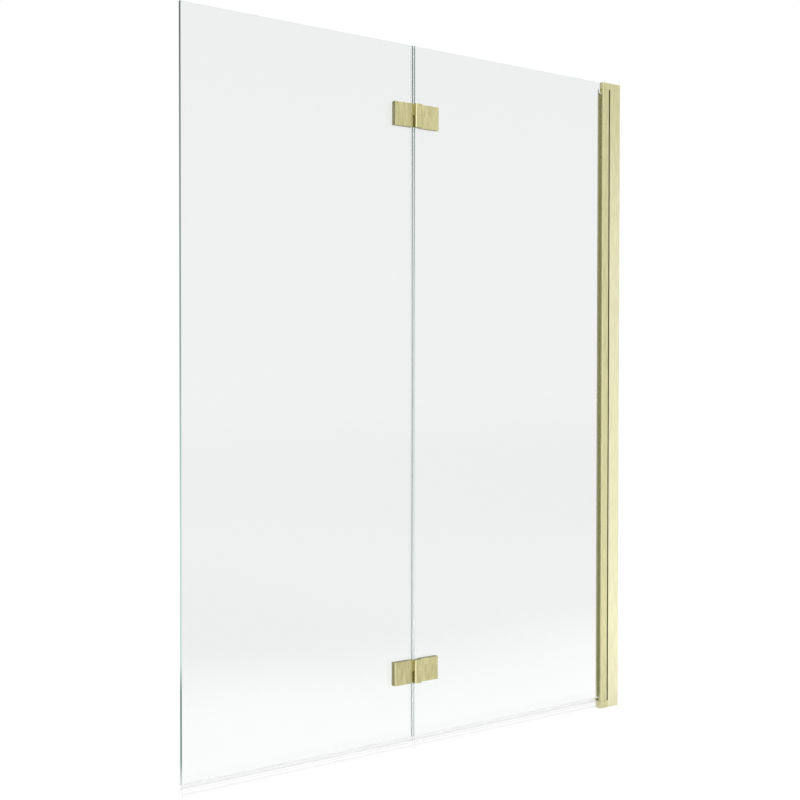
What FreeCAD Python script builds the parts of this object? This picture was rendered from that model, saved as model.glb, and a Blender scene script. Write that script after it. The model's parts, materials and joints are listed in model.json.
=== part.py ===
import FreeCAD, Part
import math
import os

# Folding bath screen: two clear glass panels joined by two square hinges, on a
# pivoting profile that turns between two caps of a wall post.
# Frame in millimetres: +Z up, wall face at X = 0 with the screen towards -X,
# glass mid-plane at Y = 0, hinge side towards -Y, bath rim at Z = 0.

# Glass
screen_width = 1100.0            # wall face to the free glass edge
screen_height = 1400.0           # bath rim to the top of the glass
glass_thickness = 6.0
outer_glass_width = 514.3
fold_gap = 4.2                   # between the two panes
glass_bottom = 24.8              # bath rim to the underside of the panes
glass_edge_chamfer = 0.5

# Clearances shared by all fits
seat_clearance = 0.03            # radial or per face, between pieces fixed together
run_clearance = 0.05             # radial, between a pin and the bush that turns on it
thrust_clearance = 0.2           # between flat faces that turn on each other
cut_overrun = 5.0                # how far a cutting shape stands past the face it cuts
match_tolerance = 0.001          # used to pick edges by their place

# Wall post and the channel behind it
section_depth = 16.0             # depth of post, caps and pivot profile across the glass
post_width = 32.0
post_wall = 1.5
channel_depth = 14.0
channel_wall = 1.5
channel_clearance = 0.2          # post wall to channel leg
wall_hole_diameter = 6.0
wall_hole_end_inset = 100.0      # end of the screen to the outer holes
wall_hole_inner_pitch = 400.0    # between the two inner holes
lid_thickness = 2.0
lid_plug_height = 6.0
lid_plug_clearance = 0.3

# Small screws in the post
post_screw_diameter = 3.0
post_screw_head_diameter = 6.0
post_screw_head_height = 1.6
post_screw_socket_share = 0.45   # socket width over head diameter
post_screw_count = 3
post_screw_end_inset = 160.0
post_screw_tail = 1.5            # thread past the channel leg
cap_screw_grip = 7.0             # thread in a cap's tongue

# Pivot caps
top_cap_height = 14.5
bottom_cap_height = 16.0
bottom_cap_corner_radius = 1.0
cap_edge_radius = 0.5
tongue_channel_gap = 3.0         # between a cap's tongue and the channel

# Pivot pins and bushes
pivot_pin_diameter = 6.0
pivot_pin_grip = 10.0            # length held in a cap
pivot_pin_reach = 14.0           # length standing in the profile
pin_end_gap = 1.0                # free space past a pin's end
bush_wall = 1.0
bush_flange_width = 1.2          # flange standing out past the bush's body
bush_flange_thickness = 1.0
thrust_washer_thickness = 1.0

# Pivot profile and its glazing gasket
profile_nose_radius = 2.0        # front corner beside the glass
profile_back_radius = 0.8        # back corner beside the glass
profile_heel_radius = 0.5        # both corners beside the post
profile_end_gap = 0.3            # between the profile's ends and the caps
heel_wall = 5.0                  # metal between the bush bore and the heel
slot_web = 1.2                   # metal between the bush bore and the glass slot
glass_bite = 4.2                 # how far the pane stands in the slot
back_lip_reach = 3.3             # how far the lip behind the pane stands past the one in front
glazing_base = 0.8
glazing_leg = 1.0
sweep_clearance = 0.4            # between the turning heel and the post
notch_clearance = 1.4            # between the caps and what turns round them
notch_drop = 9.2                 # notch of the pane below the profile's top
notch_corner_radius = 4.0

# Hinges
hinge_height = 46.5
hinge_reach = 54.5               # fold axis to the far edge of a plate
plate_thickness = 10.0
plate_edge_radius = 0.8
hinge_gasket_thickness = 1.0
hinge_gasket_inset = 0.5         # gasket edge behind the plate's edge
knuckle_width = 17.0
knuckle_depth = 13.0
knuckle_corner_radius = 3.0
knuckle_edge_radius = 0.5
knuckle_sweep_clearance = 1.1    # between a knuckle and the plate that swings past it
fold_clearance = 0.25            # half the space between the plates when folded flat
hinge_pin_diameter = 6.0
hinge_bush_wall = 1.0
hinge_washer_thickness = 0.5
hinge_washer_width = 2.0
hinge_cover = 3.0                # metal over the end of the bush bore
upper_hinge_drop = 140.0         # top of the glass to the hinge's middle
lower_hinge_rise = 158.0         # bath rim to the hinge's middle

# Clamps that hold the hinge plates to the glass
clamp_count = 2
clamp_pitch = 22.0
clamp_screw_diameter = 6.0
clamp_head_diameter = 11.0
clamp_socket_share = 0.4         # hexagon socket width over head diameter
clamp_socket_depth = 2.0
clamp_thread_depth = 6.0         # thread in the plate
clamp_disc_diameter = 18.0
clamp_disc_thickness = 4.0
clamp_disc_edge_radius = 1.2
sleeve_wall = 3.0
sleeve_flange_thickness = 0.8

# Clear seals
seal_wall = 1.0
clip_leg = 16.0                  # clip standing up over the pane's bottom edge
clip_chamber = 6.4               # hollow under the pane's bottom edge
fin_thickness = 0.9
short_fin_height = 9.0           # bath rim to the tip of the short fin
short_fin_spread = 3.0
long_fin_spread = 2.5
joint_seal_leg = 8.0
joint_seal_tip_gap = 0.4         # between the joint seal's lip and the inner pane
joint_seal_end_gap = 1.0         # between a seal's end and a hinge or another seal

# Sizes that follow from those above
glass_face = glass_thickness / 2
half_depth = section_depth / 2
post_inside = half_depth - post_wall
channel_half = post_inside - channel_clearance
bush_bore_radius = pivot_pin_diameter / 2 + run_clearance
bush_radius = bush_bore_radius + bush_wall
bush_flange_radius = bush_radius + bush_flange_width
profile_bore_radius = bush_radius + seat_clearance
pivot_inset = profile_bore_radius + heel_wall
slot_depth = glass_bite + glazing_base
slot_half = glass_face + glazing_leg
profile_width = pivot_inset + profile_bore_radius + slot_web + slot_depth


def corner_reach(along, across, radius):
    """Distance from an axis to the outermost point of a rounded corner."""
    return math.hypot(along - radius, across - radius) + radius


# Places along X
heel_reach = corner_reach(pivot_inset, half_depth, profile_heel_radius)
pivot_x = -(post_width + sweep_clearance + heel_reach)
profile_right = pivot_x + pivot_inset
profile_left = profile_right - profile_width
cap_reach = corner_reach(pivot_x - profile_left, half_depth, bottom_cap_corner_radius)
panel_end = pivot_x - cap_reach - notch_clearance
inner_glass_right = profile_left + glass_bite
outer_glass_left = -screen_width
outer_glass_right = outer_glass_left + outer_glass_width
fold_x = outer_glass_right + fold_gap / 2
inner_glass_left = fold_x + fold_gap / 2
tongue_end = -(channel_depth + tongue_channel_gap)

# Heights
top_cap_bottom = screen_height - top_cap_height
profile_top = top_cap_bottom - profile_end_gap
profile_bottom = bottom_cap_height + profile_end_gap
washer_top = bottom_cap_height + thrust_washer_thickness
top_seat = top_cap_bottom - thrust_clearance - bush_flange_thickness
bottom_seat = washer_top + thrust_clearance + bush_flange_thickness
notch_bottom = profile_top - notch_drop
clip_bottom = glass_bottom - clip_chamber - 2 * seal_wall
clip_top = glass_bottom + clip_leg
upper_hinge_z = screen_height - upper_hinge_drop
lower_hinge_z = lower_hinge_rise

# Hinge section, measured from the fold axis
knuckle_half = knuckle_width / 2
knuckle_half_depth = knuckle_depth / 2
knuckle_reach = corner_reach(knuckle_half, knuckle_half_depth, knuckle_corner_radius)
plate_start = knuckle_reach + knuckle_sweep_clearance
plate_back = -(glass_face + hinge_gasket_thickness)
plate_front = plate_back - plate_thickness
fold_y = min(plate_front - fold_clearance, -(glass_face + plate_start))
clamp_offset = (plate_start + hinge_reach) / 2
hinge_bush_bore_radius = hinge_pin_diameter / 2 + run_clearance
hinge_bush_radius = hinge_bush_bore_radius + hinge_bush_wall
clamp_screw_radius = clamp_screw_diameter / 2
clamp_head_radius = clamp_head_diameter / 2
clamp_disc_radius = clamp_disc_diameter / 2
sleeve_radius = clamp_screw_radius + seat_clearance + sleeve_wall
sleeve_back = glass_face + sleeve_flange_thickness
disc_back = sleeve_back + clamp_disc_thickness

ALONG_X = FreeCAD.Vector(1, 0, 0)
ALONG_Y = FreeCAD.Vector(0, 1, 0)
ALONG_Z = FreeCAD.Vector(0, 0, 1)


def block(x0, x1, y0, y1, z0, z1):
    """Box between two corners."""
    return Part.makeBox(x1 - x0, y1 - y0, z1 - z0, FreeCAD.Vector(x0, y0, z0))


def upright_rod(x, y, z0, z1, radius):
    """Round rod along Z."""
    return Part.makeCylinder(radius, z1 - z0, FreeCAD.Vector(x, y, z0), ALONG_Z)


def cross_rod(x, z, y0, y1, radius):
    """Round rod along Y."""
    return Part.makeCylinder(radius, y1 - y0, FreeCAD.Vector(x, y0, z), ALONG_Y)


def fuse_all(shapes):
    """One clean solid out of shapes that overlap or touch."""
    return shapes[0].multiFuse(shapes[1:]).removeSplitter()


def lies_at(low, high, place):
    """True where a span from low to high is a single place."""
    return abs(low - place) < match_tolerance and abs(high - place) < match_tolerance


def upright_edges(shape, x):
    """Straight upright edges of a shape that stand at one X."""
    found = []
    for edge in shape.Edges:
        ends = [vertex.Point for vertex in edge.Vertexes]
        at_x = all(abs(point.x - x) < match_tolerance for point in ends)
        upright = abs(ends[0].z - ends[-1].z) > match_tolerance
        if at_x and upright and abs(ends[0].y - ends[-1].y) < match_tolerance:
            found.append(edge)
    return found


def level_edges(shape, z):
    """Edges of a shape that lie at one height."""
    found = []
    for edge in shape.Edges:
        if lies_at(edge.BoundBox.ZMin, edge.BoundBox.ZMax, z):
            found.append(edge)
    return found


def pivot_bar(x1, z0, z1, nose_radius, back_radius):
    """Upright bar over the pivot, with the two corners beside the glass rounded."""
    bar = block(profile_left, x1, -half_depth, half_depth, z0, z1)
    back = [edge for edge in upright_edges(bar, profile_left) if edge.BoundBox.YMin > 0]
    bar = bar.makeFillet(back_radius, back)
    nose = [edge for edge in upright_edges(bar, profile_left) if edge.BoundBox.YMax < 0]
    return bar.makeFillet(nose_radius, nose)


def section_along_x(points, x0, x1):
    """Closed (y, z) outline drawn out along X."""
    corners = [FreeCAD.Vector(x0, y, z) for y, z in points]
    outline = Part.makePolygon(corners + corners[:1])
    return Part.Face(outline).extrude(ALONG_X * (x1 - x0))


def spaced(start, end, count):
    """Evenly spaced places from start to end."""
    return [start + (end - start) * step / (count - 1) for step in range(count)]


def wall_hole_heights():
    """Heights of the four wall holes, lowest first."""
    middle = screen_height / 2
    reach = wall_hole_inner_pitch / 2
    return [wall_hole_end_inset, middle - reach, middle + reach, screen_height - wall_hole_end_inset]


def post_screw_heights():
    """Heights of the screws that hold the post on its channel."""
    return spaced(post_screw_end_inset, screen_height - post_screw_end_inset, post_screw_count)


def cap_screw_heights():
    """Heights of the screws that hold the caps in the post."""
    low = (lid_thickness + bottom_cap_height) / 2
    high = screen_height - (lid_thickness + top_cap_height) / 2
    return [low, high]


def post_screw_x():
    return -channel_depth / 2


def cap_screw_x():
    return (tongue_end - post_width) / 2


def wall_channel():
    """U section against the wall, which the post slides over."""
    z0 = lid_thickness
    z1 = screen_height - lid_thickness
    inside = channel_half - channel_wall
    channel = block(-channel_depth, 0, -channel_half, channel_half, z0, z1)
    hollow = block(-channel_depth - cut_overrun, -channel_wall, -inside, inside, z0, z1)
    channel = channel.cut(hollow)
    for z in wall_hole_heights():
        place = FreeCAD.Vector(-channel_wall - cut_overrun, 0, z)
        length = channel_wall + 2 * cut_overrun
        channel = channel.cut(Part.makeCylinder(wall_hole_diameter / 2, length, place, ALONG_X))
    hole = post_screw_diameter / 2 + seat_clearance
    for z in post_screw_heights():
        channel = channel.cut(cross_rod(post_screw_x(), z, 0, half_depth, hole))
    return channel


def wall_post():
    """Visible post, open to the wall, with its front web cut back at the caps."""
    post = block(-post_width, 0, -half_depth, half_depth, 0, screen_height)
    hollow = block(post_wall - post_width, cut_overrun, -post_inside, post_inside,
                   -cut_overrun, screen_height + cut_overrun)
    post = post.cut(hollow)
    web_start = -post_width - cut_overrun
    web_end = post_wall - post_width
    post = post.cut(block(web_start, web_end, -post_inside, post_inside, -cut_overrun, bottom_cap_height))
    post = post.cut(block(web_start, web_end, -post_inside, post_inside,
                          top_cap_bottom, screen_height + cut_overrun))
    hole = post_screw_diameter / 2 + seat_clearance
    for z in post_screw_heights():
        post = post.cut(cross_rod(post_screw_x(), z, 0, half_depth + cut_overrun, hole))
    for z in cap_screw_heights():
        post = post.cut(cross_rod(cap_screw_x(), z, 0, half_depth + cut_overrun, hole))
    return post


def post_screw(x, z, tip_y):
    """Button-head screw put in from the back face of the post."""
    head_radius = post_screw_head_diameter / 2
    head = cross_rod(x, z, half_depth, half_depth + post_screw_head_height, head_radius)
    top = half_depth + post_screw_head_height
    rim = [edge for edge in head.Edges if abs(edge.BoundBox.YMin - top) < match_tolerance]
    head = head.makeFillet(post_screw_head_height / 2, rim)
    screw = fuse_all([head, cross_rod(x, z, tip_y, half_depth, post_screw_diameter / 2)])
    socket_radius = head_radius * post_screw_socket_share
    return screw.cut(hexagon(x, z, top - post_screw_head_height / 2, top + cut_overrun, socket_radius))


def hexagon(x, z, y0, y1, radius):
    """Six-sided bar along Y."""
    corners = []
    for step in range(6):
        angle = math.tau * step / 6
        corners.append(FreeCAD.Vector(x + radius * math.cos(angle), y0, z + radius * math.sin(angle)))
    return Part.Face(Part.makePolygon(corners + corners[:1])).extrude(ALONG_Y * (y1 - y0))


def post_screws():
    tip = channel_half - channel_wall - post_screw_tail
    return Part.makeCompound([post_screw(post_screw_x(), z, tip) for z in post_screw_heights()])


def cap_screws():
    tip = post_inside - cap_screw_grip
    return Part.makeCompound([post_screw(cap_screw_x(), z, tip) for z in cap_screw_heights()])


def cap_body(z0, z1, nose_radius, back_radius, tongue_z0, tongue_z1):
    """Cap block with the tongue that stands in the post's end."""
    body = pivot_bar(-post_width, z0, z1, nose_radius, back_radius)
    tongue_half = post_inside - seat_clearance
    tongue = block(-post_width, tongue_end, -tongue_half, tongue_half, tongue_z0, tongue_z1)
    return fuse_all([body, tongue])


def cap_screw_bore(z):
    tip = post_inside - cap_screw_grip - pin_end_gap
    return cross_rod(cap_screw_x(), z, tip, half_depth, post_screw_diameter / 2 + seat_clearance)


def top_pivot_cap():
    """Fixed cap over the pivot profile, flush with the top of the glass."""
    cap = cap_body(top_cap_bottom, screen_height, profile_nose_radius, profile_back_radius,
                   top_cap_bottom, screen_height - lid_thickness)
    cap = cap.makeFillet(cap_edge_radius, outer_cap_edges(cap, screen_height))
    bore = pivot_pin_diameter / 2 + seat_clearance
    seat = top_cap_bottom + pivot_pin_grip
    cap = cap.cut(upright_rod(pivot_x, 0, top_cap_bottom - cut_overrun, seat, bore))
    return cap.cut(cap_screw_bore(cap_screw_heights()[1]))


def bottom_pivot_cap():
    """Fixed cap on the bath rim that carries the pivot profile."""
    cap = cap_body(0, bottom_cap_height, bottom_cap_corner_radius, bottom_cap_corner_radius,
                   lid_thickness, bottom_cap_height)
    cap = cap.makeFillet(cap_edge_radius, outer_cap_edges(cap, 0))
    bore = pivot_pin_diameter / 2 + seat_clearance
    seat = bottom_cap_height - pivot_pin_grip
    cap = cap.cut(upright_rod(pivot_x, 0, seat, bottom_cap_height + cut_overrun, bore))
    return cap.cut(cap_screw_bore(cap_screw_heights()[0]))


def outer_cap_edges(cap, z):
    """Edges round a cap's outer face, but not the one against the post."""
    edges = level_edges(cap, z)
    return [edge for edge in edges if edge.BoundBox.XMin < -post_width - match_tolerance]


def post_lid(z0, z1, plug_z0, plug_z1):
    """Lid in the post's end, with a plug that stands in the channel."""
    lid_half = post_inside - seat_clearance
    lid = block(-post_width, 0, -lid_half, lid_half, z0, z1)
    plug_half = channel_half - channel_wall - lid_plug_clearance
    plug_end = lid_plug_clearance - channel_depth
    plug_start = -channel_wall - lid_plug_clearance
    return fuse_all([lid, block(plug_end, plug_start, -plug_half, plug_half, plug_z0, plug_z1)])


def post_top_lid():
    z0 = screen_height - lid_thickness
    return post_lid(z0, screen_height, z0 - lid_plug_height, z0)


def post_bottom_lid():
    return post_lid(0, lid_thickness, lid_thickness, lid_thickness + lid_plug_height)


def top_pivot_pin():
    low = top_seat - pivot_pin_reach
    return upright_rod(pivot_x, 0, low, top_cap_bottom + pivot_pin_grip, pivot_pin_diameter / 2)


def bottom_pivot_pin():
    low = bottom_cap_height - pivot_pin_grip
    return upright_rod(pivot_x, 0, low, bottom_seat + pivot_pin_reach, pivot_pin_diameter / 2)


def pivot_thrust_washer():
    """Washer on the bottom cap that carries the turning bush."""
    washer = upright_rod(pivot_x, 0, bottom_cap_height, washer_top, bush_flange_radius)
    bore = pivot_pin_diameter / 2 + seat_clearance
    return washer.cut(upright_rod(pivot_x, 0, bottom_cap_height, washer_top, bore))


def pivot_bush(body_z0, body_z1, flange_z0, flange_z1):
    """Flanged bush in an end of the pivot profile."""
    bush = fuse_all([upright_rod(pivot_x, 0, body_z0, body_z1, bush_radius),
                     upright_rod(pivot_x, 0, flange_z0, flange_z1, bush_flange_radius)])
    low = min(body_z0, flange_z0)
    high = max(body_z1, flange_z1)
    return bush.cut(upright_rod(pivot_x, 0, low, high, bush_bore_radius))


def top_pivot_bush():
    low = top_seat - pivot_pin_reach - pin_end_gap
    return pivot_bush(low, top_seat, top_seat, top_seat + bush_flange_thickness)


def bottom_pivot_bush():
    high = bottom_seat + pivot_pin_reach + pin_end_gap
    return pivot_bush(bottom_seat, high, bottom_seat - bush_flange_thickness, bottom_seat)


def pivot_profile():
    """Turning profile with a slot for the glass and a bore for the bushes, sunk for their flanges."""
    profile = pivot_bar(profile_right, profile_bottom, profile_top, profile_nose_radius, profile_back_radius)
    profile = profile.makeFillet(profile_heel_radius, upright_edges(profile, profile_right))
    profile = fuse_all([profile, back_lip()])
    slot = block(profile_left - cut_overrun, profile_left + slot_depth, -slot_half, slot_half,
                 profile_bottom, profile_top)
    bore = upright_rod(pivot_x, 0, profile_bottom, profile_top, profile_bore_radius)
    sink = bush_flange_radius + thrust_clearance
    top_sink = upright_rod(pivot_x, 0, top_seat, profile_top, sink)
    bottom_sink = upright_rod(pivot_x, 0, profile_bottom, bottom_seat, sink)
    return profile.cut(slot).cut(bore).cut(top_sink).cut(bottom_sink)


def back_lip():
    """Longer lip of the pivot profile, behind the pane."""
    lip_left = profile_left - back_lip_reach
    lip = block(lip_left, profile_left + slot_depth, slot_half, half_depth, profile_bottom, profile_top)
    rim = [edge for edge in upright_edges(lip, lip_left) if edge.BoundBox.YMin > slot_half + match_tolerance]
    return lip.makeFillet(profile_back_radius, rim)


def glazing_gasket():
    """U-shaped gasket between the pane and the profile's slot, with its back leg as long as the back lip."""
    gasket = block(profile_left, profile_left + slot_depth, -slot_half, slot_half,
                   glass_bottom, notch_bottom)
    groove = block(profile_left, inner_glass_right, -glass_face, glass_face, glass_bottom, notch_bottom)
    back_leg = block(profile_left - back_lip_reach, profile_left, glass_face, slot_half,
                     glass_bottom, notch_bottom)
    return fuse_all([gasket.cut(groove), back_leg])


def clamp_places(side, hinge_z):
    """Centres of the clamps of one plate: side -1 is the outer panel, +1 the inner one."""
    reach = clamp_pitch * (clamp_count - 1) / 2
    x = fold_x + side * clamp_offset
    return [(x, z) for z in spaced(hinge_z - reach, hinge_z + reach, clamp_count)]


def pane(outline, side):
    """Glass pane with ground edges, drilled for the hinge clamps."""
    corners = [FreeCAD.Vector(x, -glass_face, z) for x, z in outline]
    face = Part.Face(Part.makePolygon(corners + corners[:1]))
    glass = face.extrude(ALONG_Y * glass_thickness)
    if side > 0:
        notch = [edge for edge in glass.Edges if is_notch_corner(edge)]
        glass = glass.makeFillet(notch_corner_radius, notch)
    rims = []
    for edge in glass.Edges:
        box = edge.BoundBox
        if abs(box.YMax - box.YMin) < match_tolerance:
            rims.append(edge)
    glass = glass.makeChamfer(glass_edge_chamfer, rims)
    for hinge_z in (upper_hinge_z, lower_hinge_z):
        for x, z in clamp_places(side, hinge_z):
            hole = cross_rod(x, z, -glass_face, glass_face, sleeve_radius + seat_clearance)
            glass = glass.cut(hole)
    return glass


def is_notch_corner(edge):
    """True for the inner corner of the notch beside the top cap."""
    box = edge.BoundBox
    return lies_at(box.XMin, box.XMax, panel_end) and lies_at(box.ZMin, box.ZMax, notch_bottom)


def inner_glass():
    outline = [(inner_glass_left, glass_bottom), (inner_glass_right, glass_bottom),
               (inner_glass_right, notch_bottom), (panel_end, notch_bottom),
               (panel_end, screen_height), (inner_glass_left, screen_height)]
    return pane(outline, 1)


def outer_glass():
    outline = [(outer_glass_left, glass_bottom), (outer_glass_right, glass_bottom),
               (outer_glass_right, screen_height), (outer_glass_left, screen_height)]
    return pane(outline, -1)


def seal_fin(x0, x1, root, tip):
    """Thin slanted fin from a root (y, z) down to a tip (y, z)."""
    points = [root, (root[0] + fin_thickness, root[1]), (tip[0] + fin_thickness, tip[1]), tip]
    return section_along_x(points, x0, x1)


def bottom_seal(x0, x1):
    """Clip on the pane's bottom edge, with a long fin in front and a short one behind."""
    inside = glass_face + seat_clearance
    outside = inside + seal_wall
    clip = block(x0, x1, -outside, outside, clip_bottom, clip_top)
    clip = clip.cut(block(x0, x1, -inside, inside, glass_bottom, clip_top))
    chamber_low = clip_bottom + seal_wall
    clip = clip.cut(block(x0, x1, -inside, inside, chamber_low, chamber_low + clip_chamber))
    root_z = clip_bottom + seal_wall
    long_fin = seal_fin(x0, x1, (-outside, root_z), (-outside - long_fin_spread, 0))
    back = outside - fin_thickness
    short_fin = seal_fin(x0, x1, (back, root_z), (back + short_fin_spread, short_fin_height))
    return fuse_all([clip, long_fin, short_fin])


def inner_bottom_seal():
    return bottom_seal(inner_glass_left, panel_end)


def outer_bottom_seal():
    return bottom_seal(outer_glass_left, outer_glass_right)


def joint_seal(z0, z1):
    """Clip on the outer pane's edge with a lip towards the inner pane."""
    inside = glass_face + seat_clearance
    outside = inside + seal_wall
    leg_start = outer_glass_right - joint_seal_leg
    base_start = outer_glass_right + seat_clearance
    base_end = base_start + seal_wall
    seal = block(leg_start, base_end, -outside, outside, z0, z1)
    seal = seal.cut(block(leg_start, base_start, -inside, inside, z0, z1))
    lip_half = fin_thickness / 2
    lip = block(base_end, inner_glass_left - joint_seal_tip_gap, -lip_half, lip_half, z0, z1)
    return fuse_all([seal, lip])


def joint_seal_spans():
    """Heights of the three lengths of joint seal, between and past the hinges."""
    reach = hinge_height / 2 + joint_seal_end_gap
    return {"joint_seal_bottom": (clip_top + joint_seal_end_gap, lower_hinge_z - reach),
            "joint_seal_middle": (lower_hinge_z + reach, upper_hinge_z - reach),
            "joint_seal_top": (upper_hinge_z + reach, screen_height)}


def sided_block(side, near, far, y0, y1, z0, z1):
    """Box from near to far off the fold axis, towards one side of it."""
    ends = sorted([fold_x + side * near, fold_x + side * far])
    return block(ends[0], ends[1], y0, y1, z0, z1)


def knuckle_span(side, hinge_z):
    """Heights of a leaf's knuckle: the outer leaf has the upper one."""
    reach = hinge_height / 2
    if side > 0:
        return hinge_z - reach, hinge_z
    return hinge_z + thrust_clearance, hinge_z + reach


def hinge_plate(side, hinge_z):
    """Square plate of a leaf with the web that carries its knuckle."""
    low = hinge_z - hinge_height / 2
    high = hinge_z + hinge_height / 2
    plate = sided_block(side, plate_start, hinge_reach, plate_front, plate_back, low, high)
    z0, z1 = knuckle_span(side, hinge_z)
    web_back = fold_y + knuckle_half_depth
    web = sided_block(side, 0, plate_start, plate_front, web_back, z0, z1)
    plate = fuse_all([plate, web])
    far_x = fold_x + side * hinge_reach
    rims = []
    for edge in plate.Edges:
        box = edge.BoundBox
        at_far = lies_at(box.XMin, box.XMax, far_x)
        at_end = lies_at(box.ZMin, box.ZMax, low) or lies_at(box.ZMin, box.ZMax, high)
        if lies_at(box.YMin, box.YMax, plate_front) and (at_far or at_end):
            rims.append(edge)
    return plate.makeFillet(plate_edge_radius, rims)


def hinge_knuckle(side, hinge_z):
    """Upright knuckle with rounded corners, round the fold axis."""
    z0, z1 = knuckle_span(side, hinge_z)
    x0 = fold_x - knuckle_half
    x1 = fold_x + knuckle_half
    knuckle = block(x0, x1, fold_y - knuckle_half_depth, fold_y + knuckle_half_depth, z0, z1)
    uprights = upright_edges(knuckle, x0) + upright_edges(knuckle, x1)
    knuckle = knuckle.makeFillet(knuckle_corner_radius, uprights)
    outer_end = z0 if side > 0 else z1
    return knuckle.makeFillet(knuckle_edge_radius, level_edges(knuckle, outer_end))


def hinge_leaf(side, hinge_z):
    """Plate and knuckle in one piece, bored for the pin or bush and for the clamp screws."""
    leaf = fuse_all([hinge_plate(side, hinge_z), hinge_knuckle(side, hinge_z)])
    z0, z1 = knuckle_span(side, hinge_z)
    if side > 0:
        bore = hinge_pin_diameter / 2 + seat_clearance
        leaf = leaf.cut(upright_rod(fold_x, fold_y, z0 - cut_overrun, z1 + cut_overrun, bore))
        sink = bore + hinge_washer_width + seat_clearance
        leaf = leaf.cut(upright_rod(fold_x, fold_y, z1 - hinge_washer_thickness, z1 + cut_overrun, sink))
    else:
        bore = hinge_bush_radius + seat_clearance
        leaf = leaf.cut(upright_rod(fold_x, fold_y, z0 - cut_overrun, z1 - hinge_cover, bore))
    tap = clamp_screw_radius + seat_clearance
    tap_end = plate_back - clamp_thread_depth - seat_clearance
    for x, z in clamp_places(side, hinge_z):
        leaf = leaf.cut(cross_rod(x, z, tap_end, plate_back, tap))
    return leaf


def hinge_gasket(side, hinge_z):
    """Thin pad between a plate and the glass."""
    reach = hinge_height / 2 - hinge_gasket_inset
    pad = sided_block(side, plate_start + hinge_gasket_inset, hinge_reach - hinge_gasket_inset,
                      plate_back, -glass_face, hinge_z - reach, hinge_z + reach)
    for x, z in clamp_places(side, hinge_z):
        pad = pad.cut(cross_rod(x, z, plate_back, -glass_face, clamp_screw_radius + seat_clearance))
    return pad


def hinge_pin(hinge_z):
    """Pin pressed in the inner leaf, standing up in the outer leaf's bush."""
    low = hinge_z - hinge_height / 2
    high = hinge_z + hinge_height / 2 - hinge_cover - pin_end_gap
    return upright_rod(fold_x, fold_y, low, high, hinge_pin_diameter / 2)


def hinge_bush(hinge_z):
    z0, z1 = knuckle_span(-1, hinge_z)
    bush = upright_rod(fold_x, fold_y, z0, z1 - hinge_cover, hinge_bush_radius)
    return bush.cut(upright_rod(fold_x, fold_y, z0, z1 - hinge_cover, hinge_bush_bore_radius))


def hinge_washer(hinge_z):
    """Thrust washer sunk in the top of the inner leaf's knuckle."""
    bore = hinge_pin_diameter / 2 + seat_clearance
    low = hinge_z - hinge_washer_thickness
    washer = upright_rod(fold_x, fold_y, low, hinge_z, bore + hinge_washer_width)
    return washer.cut(upright_rod(fold_x, fold_y, low, hinge_z, bore))


def clamp_sleeve(x, z):
    """Sleeve that keeps a clamp screw off the glass, with a flange under the disc."""
    sleeve = fuse_all([cross_rod(x, z, -glass_face, glass_face, sleeve_radius),
                       cross_rod(x, z, glass_face, sleeve_back, clamp_disc_radius)])
    return sleeve.cut(cross_rod(x, z, -glass_face, sleeve_back, clamp_screw_radius + seat_clearance))


def countersink_height():
    return clamp_head_radius - clamp_screw_radius


def countersink(x, z, clearance):
    """Cone of a countersunk head that ends flush with the disc's back face."""
    place = FreeCAD.Vector(x, disc_back - countersink_height(), z)
    return Part.makeCone(clamp_screw_radius + clearance, clamp_head_radius + clearance,
                         countersink_height(), place, ALONG_Y)


def clamp_disc(x, z):
    """Round disc on the back of the glass that takes the clamp screw's head."""
    disc = cross_rod(x, z, sleeve_back, disc_back, clamp_disc_radius)
    rim = [edge for edge in disc.Edges if abs(edge.BoundBox.YMin - disc_back) < match_tolerance]
    disc = disc.makeFillet(clamp_disc_edge_radius, rim)
    disc = disc.cut(cross_rod(x, z, sleeve_back, disc_back, clamp_screw_radius + seat_clearance))
    return disc.cut(countersink(x, z, seat_clearance))


def clamp_screw(x, z):
    """Countersunk screw from the disc through the glass into the plate."""
    tip = plate_back - clamp_thread_depth
    neck = disc_back - countersink_height()
    screw = fuse_all([cross_rod(x, z, tip, neck, clamp_screw_radius), countersink(x, z, 0)])
    socket = clamp_head_radius * clamp_socket_share
    return screw.cut(hexagon(x, z, disc_back - clamp_socket_depth, disc_back + cut_overrun, socket))


def clamp_group(make, side, hinge_z):
    return Part.makeCompound([make(x, z) for x, z in clamp_places(side, hinge_z)])


def hinge_pieces(name, hinge_z):
    """All pieces of one hinge."""
    pieces = {name + "_hinge_pin": hinge_pin(hinge_z),
              name + "_hinge_bush": hinge_bush(hinge_z),
              name + "_hinge_washer": hinge_washer(hinge_z)}
    for panel, side in (("outer", -1), ("inner", 1)):
        stem = name + "_hinge_" + panel
        pieces[stem + "_leaf"] = hinge_leaf(side, hinge_z)
        pieces[stem + "_gasket"] = hinge_gasket(side, hinge_z)
        pieces[stem + "_sleeves"] = clamp_group(clamp_sleeve, side, hinge_z)
        pieces[stem + "_clamp_discs"] = clamp_group(clamp_disc, side, hinge_z)
        pieces[stem + "_clamp_screws"] = clamp_group(clamp_screw, side, hinge_z)
    return pieces


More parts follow.
